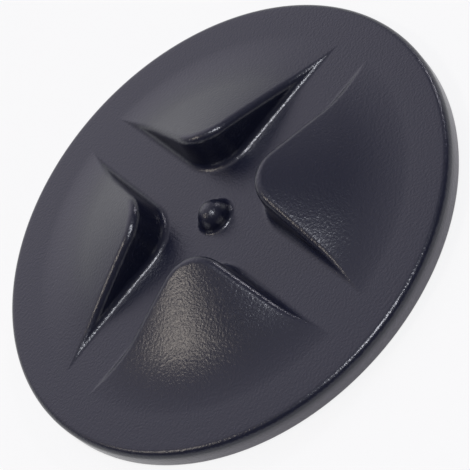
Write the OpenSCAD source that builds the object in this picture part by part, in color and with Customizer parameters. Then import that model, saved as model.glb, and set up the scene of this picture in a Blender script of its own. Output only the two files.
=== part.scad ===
// Burner cap of a gas hob, pressed from one steel sheet and coated in vitreous enamel.
// Four raised petals fall from the middle to a flat rim and leave a cross of flat channels
// between them, with a small domed nub where the channels meet. The sheet keeps its thickness
// through the relief, so the underside is hollow below each petal, and the rim is turned down
// into a shallow lip that drops over the burner head.
// The origin is on the axis, level with the bottom of the lip. Two channels run along X.

/* [Disc] */
// Diameter over the rim
cap_d = 75; // [70:0.5:110]
// Height of the channel floor and the rim above the bottom of the lip
rim_h = 3.2; // [2.8:0.1:6]
// Thickness of the sheet with its enamel
sheet_t = 1.5; // [1:0.1:1.8]
// Thickness of the turned-down lip
lip_t = 1.5; // [1.2:0.1:3]
// Radius of the rim's rounded top edge
edge_r = 1.05; // [0.4:0.05:1.5]
// Radius of the two edges at the bottom of the lip
lip_edge_r = 0.3; // [0.1:0.05:0.5]
// Radius of the inner corner between lip and plate
seat_corner_r = 0.4; // [0.2:0.05:0.8]

/* [Petals] */
// Number of petals
petal_count = 4; // [3:1:5]
// Width of the flat floor of a channel
channel_w = 6.4; // [4:0.1:9]
// Radius in plan of a petal's inner end, at its foot
tip_r = 8; // [5:0.1:10]
// Radius at which the straight slope of a petal's top would meet the floor
petal_reach = 27; // [24:0.1:28.5]
// Fall of a petal's top towards the rim, in degrees
top_slope = 21; // [14:0.5:24]
// Radius of the run-out that blends the slope into the rim
run_out_r = 30; // [10:0.5:32]
// Steepest angle of a petal's wall, in degrees
wall_angle = 80; // [60:1:84]
// Radius of the fillet along the foot of a petal
foot_r = 1.3; // [0.6:0.05:1.8]
// Radius of the rounding along the top edge of a petal
crown_r = 1.2; // [0.6:0.05:1.8]

/* [Nub] */
// Radius of the domed nub
nub_r = 2.6; // [2:0.1:3]
// Height of the nub above the floor
nub_h = 2.6; // [2:0.1:3.6]
// Radius of the fillet round the foot of the nub
nub_foot_r = 0.8; // [0.3:0.05:1]

/* [Hidden] */
$fn = 128;
enamel = [0.17, 0.17, 0.19];
cap_r = cap_d/2;
seat_r = cap_r - lip_t;
seat_z = rim_h - sheet_t;
half_angle = 180/petal_count;
// Radius at which the run-out of the petals ends in the floor
run_out_end = petal_reach + run_out_r*tan(top_slope/2);
// How far a petal's fillet dips into the sheet, so that it crosses the floor at an angle
sink = 0.03;
// Least radius of a corner on the hollow side of the sheet
hollow_r = 0.4;
// Least length of the straight part of a petal's wall
least_wall = 0.02;
// Steps along a straight side, half of the inner end, a fillet and across the top
side_steps = 9;
tip_steps = 6;
fillet_steps = 5;
top_steps = 9;
stations = 2*(side_steps + tip_steps) + 1;
rings = 2*fillet_steps + 3;
rows = (stations - 1)/2;
// Overlap of a cutting body past the face that it cuts
cut = 1;

// Height of a petal's top over its base plane at radius r, with run-out radius b
function top_z(r, b) =
    r >= run_out_end ? 0 :
    r > run_out_end - b*sin(top_slope) ? b - sqrt(b*b - pow(run_out_end - r, 2)) :
    tan(top_slope)*(run_out_end - b*tan(top_slope/2) - r);

// Gradient of that top along the radius
function top_fall(r, b) =
    r >= run_out_end ? 0 :
    r > run_out_end - b*sin(top_slope) ? -(run_out_end - r)/sqrt(b*b - pow(run_out_end - r, 2)) :
    -tan(top_slope);

// Foot of a petal's outline at station i: [x, y, direction of the inward normal].
// The petal lies along X, and the stations run from one outer end round the tip to the other.
function tip_centre() = (channel_w/2 + tip_r)/sin(half_angle);
function side_start() = tip_centre()*cos(half_angle);
function side_end(b) = sqrt(pow(run_out_end - sqrt(1.4*b*sink), 2) - pow(channel_w/2, 2));
function lower_side(s) = concat(turn([s, channel_w/2], -half_angle), [90 - half_angle]);
function turn(p, a) = [p[0]*cos(a) - p[1]*sin(a), p[0]*sin(a) + p[1]*cos(a)];
function flip(s) = [s[0], -s[1], -s[2]];
function lower_half(i, b) =
    i <= side_steps
    ? lower_side(side_end(b) + (side_start() - side_end(b))*i/side_steps)
    : let (a = (90 - half_angle)*(1 - (i - side_steps)/tip_steps))
      [tip_centre() - tip_r*cos(a), -tip_r*sin(a), a];
function station(i, b) = i <= rows ? lower_half(i, b) : flip(lower_half(stations - 1 - i, b));

// One pass of the search for where the wall of a station meets the sloping top.
// Returns [wall angle, length of the straight wall, reach of the wall, angle of the top there].
function wall_pass(s, f, c, b, e) =
    let (x = s[0] + e*cos(s[2]),
         y = s[1] + e*sin(s[2]),
         r = norm([x, y]),
         g = top_fall(r, b)*(x*cos(s[2]) + y*sin(s[2]))/r,
         h = top_z(r, b) - g*e,
         ga = atan(g),
         q = (f + c*cos(ga) + g*c*sin(ga) - h)/((f + c)*sqrt(1 + g*g)),
         w = min(wall_angle, ga + acos(max(-1, min(1, q)))),
         up = h + g*(f*sin(w) + c*(sin(w) - sin(ga))) - f*(1 - cos(w)) - c*(cos(ga) - cos(w)),
         len = max(least_wall, up/(sin(w) - g*cos(w))))
    [w, len, f*sin(w) + len*cos(w) + c*(sin(w) - sin(ga)), ga];
function wall(s, f, c, b, e = 1, n = 6) =
    let (p = wall_pass(s, f, c, b, e))
    n == 0 ? p : wall(s, f, c, b, p[2], n - 1);

// Section of the wall at a station, as [reach, height] from the foot to the top
function foot_arc(f, w) = [for (k = [0:fillet_steps]) let (a = w*k/fillet_steps)
    [f*sin(a), f*(1 - cos(a))]];
function crown_arc(f, c, p) = [for (k = [0:fillet_steps])
    let (a = p[0] + (p[3] - p[0])*k/fillet_steps)
    [f*sin(p[0]) + p[1]*cos(p[0]) + c*(sin(p[0]) - sin(a)),
     f*(1 - cos(p[0])) + p[1]*sin(p[0]) + c*(cos(a) - cos(p[0]))]];
function section(s, f, c, b) =
    let (p = wall(s, f, c, b))
    concat(foot_arc(f, p[0]), crown_arc(f, c, p));

// A petal's body from its skirt to its top. f, c and b are the radii of its foot, crown and
// run-out. The hollow below a petal is the same body with radii that keep the sheet's thickness.
module petal(f, c, b, skirt) {
    at = [for (i = [0:stations - 1]) station(i, b)];
    sides = [for (s = at)
        let (u = [cos(s[2]), sin(s[2])], v = section(s, f, c, b))
        concat([[s[0], s[1], -skirt]],
               [for (q = v) [s[0] + u[0]*q[0], s[1] + u[1]*q[0], q[1] - sink]])];
    last = rings - 1;
    tops = [for (i = [0:rows - 1])
        let (p = sides[i][last], r = norm([p[0], p[1]]), a = atan2(p[1], p[0]))
        [for (k = [1:top_steps - 1])
            let (t = a*(1 - 2*k/top_steps)) [r*cos(t), r*sin(t), p[2]]]];
    base = [for (k = [0:top_steps])
        let (p = sides[0][last], r = norm([p[0], p[1]]), t = atan2(p[1], p[0])*(1 - 2*k/top_steps))
        [r*cos(t), r*sin(t), -skirt]];
    points = concat([for (s = sides) each s], [for (t = tops) each t], base);
    base_0 = stations*rings + rows*(top_steps - 1);
    function on_top(i, k) =
        k == 0 ? i*rings + last :
        k == top_steps ? (stations - 1 - i)*rings + last :
        stations*rings + i*(top_steps - 1) + k - 1;
    walls = [for (i = [0:stations - 2]) for (j = [0:rings - 2])
        let (a = i*rings + j, d = a + rings) each [[a, d, d + 1], [a, d + 1, a + 1]]];
    slope = [for (i = [0:rows - 2]) for (k = [0:top_steps - 1])
        each [[on_top(i, k), on_top(i + 1, k + 1), on_top(i, k + 1)],
              [on_top(i, k), on_top(i + 1, k), on_top(i + 1, k + 1)]]];
    tip = [for (k = [0:top_steps - 1])
        [on_top(rows - 1, k), rows*rings + last, on_top(rows - 1, k + 1)]];
    outer = [for (k = [0:top_steps - 1])
        each [[base_0 + k, on_top(0, k + 1), base_0 + k + 1],
              [base_0 + k, on_top(0, k), on_top(0, k + 1)]]];
    ends = [concat([for (j = [0:last]) j], [base_0]),
            concat([base_0 + top_steps], [for (j = [last:-1:0]) (stations - 1)*rings + j])];
    under = [concat([for (k = [0:top_steps]) base_0 + k], [for (i = [stations - 1:-1:0]) i*rings])];
    polyhedron(points, concat(walls, slope, tip, outer, ends, under), convexity = 4);
}

// Places its children once for each petal
module petals() {
    for (i = [0:petal_count - 1]) rotate(360*(i + 0.5)/petal_count) children();
}

// Section of the plate, the rounded rim and the lip
module rim_section() {
    difference() {
        union() {
            square([cap_r - edge_r, rim_h]);
            square([cap_r - lip_edge_r, rim_h - edge_r]);
            translate([0, lip_edge_r]) square([cap_r, rim_h - edge_r - lip_edge_r]);
            translate([cap_r - edge_r, rim_h - edge_r]) circle(edge_r);
            translate([cap_r - lip_edge_r, lip_edge_r]) circle(lip_edge_r);
        }
        translate([-cut, -cut]) square([cut + seat_r, cut + seat_z - seat_corner_r]);
        translate([-cut, -cut]) square([cut + seat_r - seat_corner_r, cut + seat_z]);
        translate([seat_r - seat_corner_r, seat_z - seat_corner_r]) circle(seat_corner_r);
        difference() {
            translate([0, -cut]) square([seat_r + lip_edge_r, cut + lip_edge_r]);
            translate([seat_r + lip_edge_r, lip_edge_r]) circle(lip_edge_r);
        }
    }
}

// Section of the nub from the axis outwards: its dome, a straight wall when the dome stands high,
// and the fillet round its foot. Its hollow has the same centres, with the sheet's thickness
// taken off the dome and added to the fillet.
module nub_section(ball, foot, skirt) {
    ball_z = nub_h - nub_r;
    join_z = min(ball_z, nub_foot_r);
    reach = nub_r + nub_foot_r;
    foot_x = sqrt(reach*reach - pow(nub_foot_r - join_z, 2));
    touch = [foot_x, nub_foot_r - join_z]*ball/reach;
    intersection() {
        translate([0, -skirt]) square([foot_x, skirt + nub_h]);
        union() {
            translate([0, ball_z]) circle(ball);
            translate([0, -skirt]) square([ball, skirt + ball_z]);
            difference() {
                polygon([[0, -skirt], [foot_x, -skirt], [foot_x, nub_foot_r],
                         [touch[0], touch[1] + join_z], [0, touch[1] + join_z]]);
                translate([foot_x, nub_foot_r]) circle(foot);
            }
        }
    }
}

// The whole cap: one pressed and enamelled sheet
module burner_cap() {
    color(enamel) difference() {
        union() {
            rotate_extrude() {
                rim_section();
                translate([0, rim_h]) nub_section(nub_r, nub_foot_r, sheet_t/2);
            }
            translate([0, 0, rim_h]) petals() petal(foot_r, crown_r, run_out_r, sheet_t/2);
        }
        translate([0, 0, seat_z]) petals()
            petal(foot_r + sheet_t, hollow_r, run_out_r + sheet_t, cut);
        rotate_extrude() translate([0, rim_h]) nub_section(nub_r - sheet_t, nub_foot_r + sheet_t, sheet_t + cut);
    }
}

burner_cap();
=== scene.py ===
from math import acos, atan, atan2, cos, hypot, pi, radians, sin, sqrt, tan

import bmesh
import bpy
from mathutils import Matrix, Vector


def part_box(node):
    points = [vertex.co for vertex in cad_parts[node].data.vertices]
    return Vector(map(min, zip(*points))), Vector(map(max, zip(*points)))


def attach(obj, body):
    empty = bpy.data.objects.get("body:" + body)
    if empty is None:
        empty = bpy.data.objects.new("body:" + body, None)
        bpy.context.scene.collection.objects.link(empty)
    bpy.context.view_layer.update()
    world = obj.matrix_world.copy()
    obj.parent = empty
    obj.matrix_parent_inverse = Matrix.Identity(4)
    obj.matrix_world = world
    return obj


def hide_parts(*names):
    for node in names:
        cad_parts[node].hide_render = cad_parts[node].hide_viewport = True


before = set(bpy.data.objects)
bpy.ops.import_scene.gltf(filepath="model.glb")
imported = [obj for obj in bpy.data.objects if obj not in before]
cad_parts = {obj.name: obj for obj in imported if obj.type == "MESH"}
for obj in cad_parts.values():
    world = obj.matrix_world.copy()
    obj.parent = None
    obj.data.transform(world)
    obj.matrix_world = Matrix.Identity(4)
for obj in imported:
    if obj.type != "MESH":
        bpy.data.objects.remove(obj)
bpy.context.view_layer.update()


# Camera
# The cap is seen from 44 degrees above its rim, close to along one of its channels, with the
# camera rolled so that the far side of the disc is at the upper left of the picture.
MM = 0.001
PICTURE_PX = 470
SENSOR_MM = 36
FOCAL_PX = 1790.5
CENTRE_PX = (227.2, 227.5)
camera_distance = 262*MM
camera_tilt = radians(45.84)
camera_roll = radians(47.72)
camera_turn = radians(-3.8)

around = Matrix.Rotation(camera_turn, 3, "Z")
toward_camera = around @ Vector((0, -sin(camera_tilt), cos(camera_tilt)))
across = around @ Vector((1, 0, 0))
upward = around @ Vector((0, cos(camera_tilt), sin(camera_tilt)))
picture_x = cos(camera_roll)*across - sin(camera_roll)*upward
picture_y = sin(camera_roll)*across + cos(camera_roll)*upward

lens = bpy.data.cameras.new("camera")
lens.sensor_width = SENSOR_MM
lens.lens = FOCAL_PX/PICTURE_PX*SENSOR_MM
lens.shift_x = 0.5 - CENTRE_PX[0]/PICTURE_PX
lens.shift_y = CENTRE_PX[1]/PICTURE_PX - 0.5
lens.clip_start = 10*MM
camera = bpy.data.objects.new("camera", lens)
place = Matrix((picture_x, picture_y, toward_camera)).transposed().to_4x4()
place.translation = camera_distance*toward_camera
camera.matrix_world = place
bpy.context.scene.collection.objects.link(camera)
bpy.context.scene.camera = camera


# Burner cap
# One disc of steel sheet, pressed in a die so that four petals and a nub stand up from a flat
# cross, and turned down round its edge to a short lip. Its top and its underside are drawn as
# curved sheets of quads, a quarter at a time, and the edge is extruded round the lip.
low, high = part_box("burner_cap")
cap_r = high.x
sheet_t = 1.5*MM
rim_h = 3.2*MM
seat_z = rim_h - sheet_t
seat_r = cap_r - 1.5*MM
edge_r = 1.05*MM
lip_edge_r = 0.3*MM
seat_corner_r = 0.4*MM
channel_w = 6.4*MM
tip_r = 8*MM
petal_reach = 27*MM
top_slope = radians(21)
run_out_r = 30*MM
wall_angle = radians(80)
foot_r = 1.3*MM
crown_r = 1.2*MM
hollow_crown_r = 0.4*MM
nub_r = 2.6*MM
nub_h = 2.6*MM
nub_foot_r = 0.8*MM
# The solid's petals stand this much lower than their slope gives
sink = 0.03*MM

half_angle = radians(45)
run_out_end = petal_reach + run_out_r*tan(top_slope/2)
tip_centre = (channel_w/2 + tip_r)/sin(half_angle)
side_start = tip_centre*cos(half_angle)
side_end = sqrt(run_out_end**2 - (channel_w/2)**2)
nub_join = min(nub_h - nub_r, nub_foot_r)
nub_foot_x = sqrt((nub_r + nub_foot_r)**2 - (nub_foot_r - nub_join)**2)

SIDE_STEPS = 44
TIP_STEPS = 20
CHANNEL_STEPS = 5
FOOT_STEPS = 12
WALL_STEPS = 4
CROWN_STEPS = 12
TOP_STEPS = 36
CORNER_STEPS = 5
NUB_STEPS = 28
ANNULUS_STEPS = 5
HALF_STATIONS = SIDE_STEPS + TIP_STEPS
COLUMNS = CHANNEL_STEPS + FOOT_STEPS + WALL_STEPS + CROWN_STEPS
RIM_COLUMNS = 2*COLUMNS + TOP_STEPS


def top_z(r, run_out):
    """Height of a petal's top over its base plane, at radius r from the cap's axis."""
    if r >= run_out_end:
        return 0
    if r > run_out_end - run_out*sin(top_slope):
        return run_out - sqrt(run_out**2 - (run_out_end - r)**2)
    return tan(top_slope)*(run_out_end - run_out*tan(top_slope/2) - r)


def top_fall(r, run_out):
    """Gradient of that top along the radius."""
    if r >= run_out_end:
        return 0
    if r > run_out_end - run_out*sin(top_slope):
        return -(run_out_end - r)/sqrt(run_out**2 - (run_out_end - r)**2)
    return -tan(top_slope)


def foot(i):
    """Foot of a petal's wall at station i, for a petal along X: x, y, direction of its inside."""
    if i > HALF_STATIONS:
        x, y, inward = foot(2*HALF_STATIONS - i)
        return x, -y, -inward
    if i <= SIDE_STEPS:
        along = side_end + (side_start - side_end)*i/SIDE_STEPS
        x = along*cos(half_angle) + channel_w/2*sin(half_angle)
        y = channel_w/2*cos(half_angle) - along*sin(half_angle)
        return x, y, pi/2 - half_angle
    a = (pi/2 - half_angle)*(1 - (i - SIDE_STEPS)/TIP_STEPS)
    return tip_centre - tip_r*cos(a), -tip_r*sin(a), a


def wall(i, foot_round, crown_round, run_out):
    """Section of the wall at station i: its angle, the length of its straight part, its reach
    from the foot to the top's slope, and its height at any distance q from the foot."""
    x, y, inward = foot(i)
    reach = MM
    for _ in range(8):
        px, py = x + reach*cos(inward), y + reach*sin(inward)
        r = hypot(px, py)
        g = top_fall(r, run_out)*(px*cos(inward) + py*sin(inward))/r
        h = max(0, top_z(r, run_out) - sink) - g*reach
        slope = atan(g)
        q = (foot_round + crown_round*(cos(slope) + g*sin(slope)) - h)
        q /= (foot_round + crown_round)*sqrt(1 + g*g)
        w = min(wall_angle, slope + acos(max(-1, min(1, q))))
        rise = h + g*(foot_round*sin(w) + crown_round*(sin(w) - sin(slope)))
        rise -= foot_round*(1 - cos(w)) + crown_round*(cos(slope) - cos(w))
        length = rise/(sin(w) - g*cos(w)) if w == wall_angle else 0
        reach = foot_round*sin(w) + length*cos(w) + crown_round*(sin(w) - sin(slope))
    return w, length, reach, slope


def wall_columns(i, foot_round, crown_round, run_out):
    """Distance from the foot and height of each column of quads at station i."""
    w, length, reach, slope = wall(i, foot_round, crown_round, run_out)
    points = [(-channel_w/2*(1 - k/CHANNEL_STEPS)**1.5, 0) for k in range(CHANNEL_STEPS + 1)]
    for k in range(1, FOOT_STEPS + 1):
        a = w*k/FOOT_STEPS
        points.append((foot_round*sin(a), foot_round*(1 - cos(a))))
    q0, z0 = points[-1]
    for k in range(1, WALL_STEPS + 1):
        points.append((q0 + length*cos(w)*k/WALL_STEPS, z0 + length*sin(w)*k/WALL_STEPS))
    q0, z0 = points[-1]
    for k in range(1, CROWN_STEPS + 1):
        a = w + (slope - w)*k/CROWN_STEPS
        points.append((q0 + crown_round*(sin(w) - sin(a)), z0 + crown_round*(cos(a) - cos(w))))
    return points


def sheet(bm, across_steps, along_steps, point):
    """A grid of quads whose corners are placed by point(i, j). Returns its corners."""
    made = bmesh.ops.create_grid(bm, x_segments=across_steps, y_segments=along_steps, size=0.5)
    for v in made["verts"]:
        i = round((v.co.x + 0.5)*across_steps)
        j = round((v.co.y + 0.5)*along_steps)
        v.co = point(i, j)
    return made["verts"]


def pressed_face(bm, base, foot_round, crown_round, run_out, ball, ball_foot, plate_r):
    """One face of the sheet out to radius plate_r: the quarter round one petal, four times."""
    stations = 2*HALF_STATIONS
    columns = [wall_columns(i, foot_round, crown_round, run_out) for i in range(stations + 1)]
    least_step = 0.012*MM

    def wall_point(i, j):
        x, y, inward = foot(i)
        q, z = columns[i][j]
        if j > CHANNEL_STEPS:
            q = max(q, (j - CHANNEL_STEPS)*least_step)
        return Vector((x + q*cos(inward), y + q*sin(inward), base + z))

    def top_point(i, k):
        edge = wall_point(i, COLUMNS)
        r, a = hypot(edge.x, edge.y), atan2(edge.y, edge.x)
        t = a*(1 - 2*k/TOP_STEPS)
        return Vector((r*cos(t), r*sin(t), edge.z))

    def nub_turn(i):
        return half_angle*((i - SIDE_STEPS)/TIP_STEPS - 1)

    def corner_point(i, j):
        a = nub_turn(SIDE_STEPS + i)
        near = nub_foot_x*Vector((cos(a), sin(a), 0))
        far = wall_point(SIDE_STEPS + i, 0)
        p = near.lerp(far, j/CORNER_STEPS)
        return Vector((p.x, p.y, base))

    def nub_point(i, j):
        a = nub_turn(SIDE_STEPS + i)
        lean = atan2(nub_foot_r - nub_join, nub_foot_x)
        foot_share = NUB_STEPS//3
        if j <= foot_share:
            b = (pi/2 - lean)*j/foot_share
            r = nub_foot_x - ball_foot*sin(b)
            z = nub_foot_r - ball_foot*cos(b)
        else:
            b = lean + (pi/2 - lean)*(j - foot_share)/(NUB_STEPS - foot_share)
            r = ball*cos(b)
            z = nub_h - nub_r + ball*sin(b)
        return Vector((r*cos(a), r*sin(a), rim_h + z))

    def rim_point(i, j):
        if i < COLUMNS:
            p = wall_point(0, i)
        elif i <= COLUMNS + TOP_STEPS:
            p = top_point(0, i - COLUMNS)
        else:
            p = wall_point(stations, RIM_COLUMNS - i)
        share = j/ANNULUS_STEPS
        r, a = hypot(p.x, p.y), atan2(p.y, p.x)
        r += (plate_r - r)*share
        a += (half_angle*(2*i/RIM_COLUMNS - 1) - a)*share
        return Vector((r*cos(a), r*sin(a), base + (p.z - base)*(1 - share)))

    verts = sheet(bm, stations, COLUMNS, wall_point)
    verts += sheet(bm, HALF_STATIONS, TOP_STEPS, top_point)
    verts += sheet(bm, 2*TIP_STEPS, CORNER_STEPS, corner_point)
    verts += sheet(bm, 2*TIP_STEPS, NUB_STEPS, nub_point)
    verts += sheet(bm, RIM_COLUMNS, ANNULUS_STEPS, rim_point)
    bmesh.ops.rotate(bm, verts=verts, matrix=Matrix.Rotation(half_angle, 3, "Z"))
    faces = list({f for v in verts for f in v.link_faces})
    edges = list({e for f in faces for e in f.edges})
    bmesh.ops.spin(bm, geom=verts + edges + faces, axis=(0, 0, 1), cent=(0, 0, 0),
                   angle=1.5*pi, steps=3, use_duplicate=True)
    bmesh.ops.remove_doubles(bm, verts=bm.verts, dist=0.002*MM)


def arc(r, z, radius, start, end, steps):
    """Points of a rounding in the cap's section, from one angle to the other in degrees."""
    turns = [radians(start + (end - start)*k/steps) for k in range(steps + 1)]
    return [(r + radius*cos(t), z + radius*sin(t)) for t in turns]


bm = bmesh.new()
pressed_face(bm, rim_h, foot_r, crown_r, run_out_r, nub_r, nub_foot_r, cap_r - edge_r)
edge = [e for e in bm.edges if e.is_boundary]
lip = arc(cap_r - edge_r, rim_h - edge_r, edge_r, 90, 0, 14)[1:]
lip += arc(cap_r - lip_edge_r, lip_edge_r, lip_edge_r, 0, -90, 6)
lip += arc(seat_r + lip_edge_r, lip_edge_r, lip_edge_r, -90, -180, 6)
lip += arc(seat_r - seat_corner_r, seat_z - seat_corner_r, seat_corner_r, 0, 90, 6)
plate_r = seat_r - 2*seat_corner_r
for r, z in lip + [(plate_r, seat_z)]:
    made = bmesh.ops.extrude_edge_only(bm, edges=edge)["geom"]
    for v in made:
        if isinstance(v, bmesh.types.BMVert):
            v.co.xy = v.co.xy.normalized()*r
            v.co.z = z
    edge = [e for e in made if isinstance(e, bmesh.types.BMEdge)]
pressed_face(bm, seat_z, foot_r + sheet_t, hollow_crown_r, run_out_r + sheet_t,
             nub_r - sheet_t, nub_foot_r + sheet_t, plate_r)
bmesh.ops.recalc_face_normals(bm, faces=bm.faces)
for f in bm.faces:
    f.smooth = True
mesh = bpy.data.meshes.new("enamelled_cap")
bm.to_mesh(mesh)
bm.free()
cap = bpy.data.objects.new("enamelled_cap", mesh)
bpy.context.scene.collection.objects.link(cap)
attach(cap, "root")
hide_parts("burner_cap")

def linear(hex_colour):
    """A colour written as sRGB hex, as the linear RGBA value that shaders take."""
    parts = [int(hex_colour[k:k + 2], 16)/255 for k in (1, 3, 5)]
    return [c/12.92 if c <= 0.04045 else ((c + 0.055)/1.055)**2.4 for c in parts] + [1]


def add(tree, kind, inputs=(), **settings):
    """Adds a node, sets its properties and fills its inputs with values or with links."""
    node = tree.nodes.new(kind)
    for name, value in settings.items():
        setattr(node, name, value)
    for name, value in dict(inputs).items():
        if isinstance(value, bpy.types.NodeSocket):
            tree.links.new(value, node.inputs[name])
        else:
            node.inputs[name].default_value = value
    return node


def blank(name):
    """An empty node material and its output node."""
    material = bpy.data.materials.new(name)
    material.use_nodes = True
    material.node_tree.nodes.clear()
    return material, add(material.node_tree, "ShaderNodeOutputMaterial")


# Vitreous enamel, a blue-black glass fired on the steel at red heat. It mirrors the room softly,
# and its orange-peel skin breaks bright reflections into a fine grain. Round the side of the lip
# the colour is drawn a lighter grey, lightest towards the bottom.
enamel, out = blank("vitreous_enamel")
tree = enamel.node_tree
where = add(tree, "ShaderNodeTexCoord").outputs["Object"]
PEEL_MM = 0.4
peel = add(tree, "ShaderNodeTexNoise", {
    "Vector": where, "Scale": 1/(PEEL_MM*MM), "Detail": 2, "Roughness": 0.6})
bump = add(tree, "ShaderNodeBump", {
    "Height": peel.outputs["Fac"], "Strength": 1, "Distance": 0.05*MM})
height = add(tree, "ShaderNodeSeparateXYZ", {"Vector": where}).outputs["Z"]
lip_band = add(tree, "ShaderNodeMapRange", {
    "Value": height, "From Min": 0.0024, "From Max": 0.0014})
coat = add(tree, "ShaderNodeMix", {
    "Factor": lip_band.outputs["Result"], "A": linear("#141729"), "B": linear("#5c5a63")},
    data_type="RGBA")
glaze = add(tree, "ShaderNodeBsdfPrincipled", {
    "Base Color": coat.outputs["Result"], "Roughness": 0.28, "IOR": 1.55,
    "Normal": bump.outputs["Normal"]})
tree.links.new(glaze.outputs["BSDF"], out.inputs["Surface"])
cap.data.materials.append(enamel)


# Floor
# A plain white sheet under the cap, which turns up at its edge into a low backdrop all round.
FLOOR_R = 1.5
BACKDROP_H = 0.4
bm = bmesh.new()
bmesh.ops.create_circle(bm, cap_ends=True, segments=64, radius=FLOOR_R)
edge = [e for e in bm.edges if e.is_boundary]
made = bmesh.ops.extrude_edge_only(bm, edges=edge)["geom"]
for v in made:
    if isinstance(v, bmesh.types.BMVert):
        v.co.z = BACKDROP_H
floor_mesh = bpy.data.meshes.new("floor")
bm.to_mesh(floor_mesh)
bm.free()
floor = bpy.data.objects.new("floor", floor_mesh)
bpy.context.scene.collection.objects.link(floor)
paper, out = blank("white_paper")
tree = paper.node_tree
matte = add(tree, "ShaderNodeBsdfDiffuse", {"Color": linear("#f2f2f2")})
white = add(tree, "ShaderNodeEmission", {"Color": linear("#ffffff"), "Strength": 1})
ray = add(tree, "ShaderNodeLightPath").outputs
seen = add(tree, "ShaderNodeMath", {0: ray["Is Camera Ray"], 1: ray["Is Glossy Ray"]}, operation="ADD")
seen = add(tree, "ShaderNodeMath", {0: seen.outputs[0], 1: ray["Is Transmission Ray"]}, operation="ADD")
share = add(tree, "ShaderNodeMath", {0: seen.outputs[0], 1: 0.8}, operation="MULTIPLY", use_clamp=True)
shown = add(tree, "ShaderNodeMixShader", {
    "Fac": share.outputs[0], 1: matte.outputs["BSDF"], 2: white.outputs["Emission"]})
tree.links.new(shown.outputs["Shader"], out.inputs["Surface"])
floor.data.materials.append(paper)


# Light
# A studio that is bright beyond the cap, where a soft screen stands, and dim behind the camera,
# with one small lamp overhead and two weaker ones at the sides.
world = bpy.data.worlds.new("studio")
bpy.context.scene.world = world
world.use_nodes = True
tree = world.node_tree
tree.nodes.clear()
direction = add(tree, "ShaderNodeTexCoord").outputs["Generated"]
turned = add(tree, "ShaderNodeVectorRotate", {"Vector": direction, "Angle": -camera_turn},
             rotation_type="Z_AXIS")
part = add(tree, "ShaderNodeSeparateXYZ", {"Vector": turned.outputs["Vector"]}).outputs
tip = add(tree, "ShaderNodeMath", {0: part["Y"], 1: part["Z"]}, operation="ARCTAN2")
place = add(tree, "ShaderNodeMapRange", {
    "Value": tip.outputs[0], "From Min": -pi/2, "From Max": pi/2})
screen = add(tree, "ShaderNodeValToRGB", {"Fac": place.outputs["Result"]})
SCREEN_TONES = ((-20, 0), (10, 0.25), (27, 0.55), (44, 0.95), (57, 1.4), (70, 1.25), (90, 0.85))
PEAK = 1.4
stops = screen.color_ramp.elements
for k, (angle, tone) in enumerate(SCREEN_TONES):
    stop = stops[k] if k < 2 else stops.new(1)
    stop.position = (angle + 90)/180
    stop.color = [tone/PEAK]*3 + [1]
side = add(tree, "ShaderNodeMath", {0: part["X"], 1: part["X"]}, operation="MULTIPLY")
side = add(tree, "ShaderNodeMath", {0: side.outputs[0], 1: -1/0.5**2}, operation="MULTIPLY")
side = add(tree, "ShaderNodeMath", {0: side.outputs[0]}, operation="EXPONENT")
level = add(tree, "ShaderNodeMath", {0: screen.outputs["Color"], 1: side.outputs[0]},
            operation="MULTIPLY")
level = add(tree, "ShaderNodeMath", {0: level.outputs[0], 1: PEAK, 2: 0.12},
            operation="MULTIPLY_ADD")
sky = add(tree, "ShaderNodeBackground", {"Color": linear("#f7f2ff"), "Strength": level.outputs[0]})
out = add(tree, "ShaderNodeOutputWorld", {"Surface": sky.outputs["Background"]})
bpy.context.scene.view_settings.view_transform = "Standard"


def lamp(name, direction, power, colour):
    """A small round lamp 1 m from the cap, in a direction given right, away and up."""
    light = bpy.data.lights.new(name, "AREA")
    light.shape = "DISK"
    light.size = 0.1
    light.energy = power
    light.color = linear(colour)[:3]
    lit = bpy.data.objects.new(name, light)
    toward = (around @ Vector(direction)).normalized()
    lit.rotation_euler = toward.to_track_quat("Z", "Y").to_euler()
    lit.location = toward
    bpy.context.scene.collection.objects.link(lit)


lamp("overhead_lamp", (0.095, -0.198, 0.978), 4.5, "#f4f6ff")
lamp("left_lamp", (-0.541, 0.287, 0.790), 1.2, "#fff4e6")
lamp("right_lamp", (0.791, 0.371, 0.486), 1.0, "#f8f4ff")
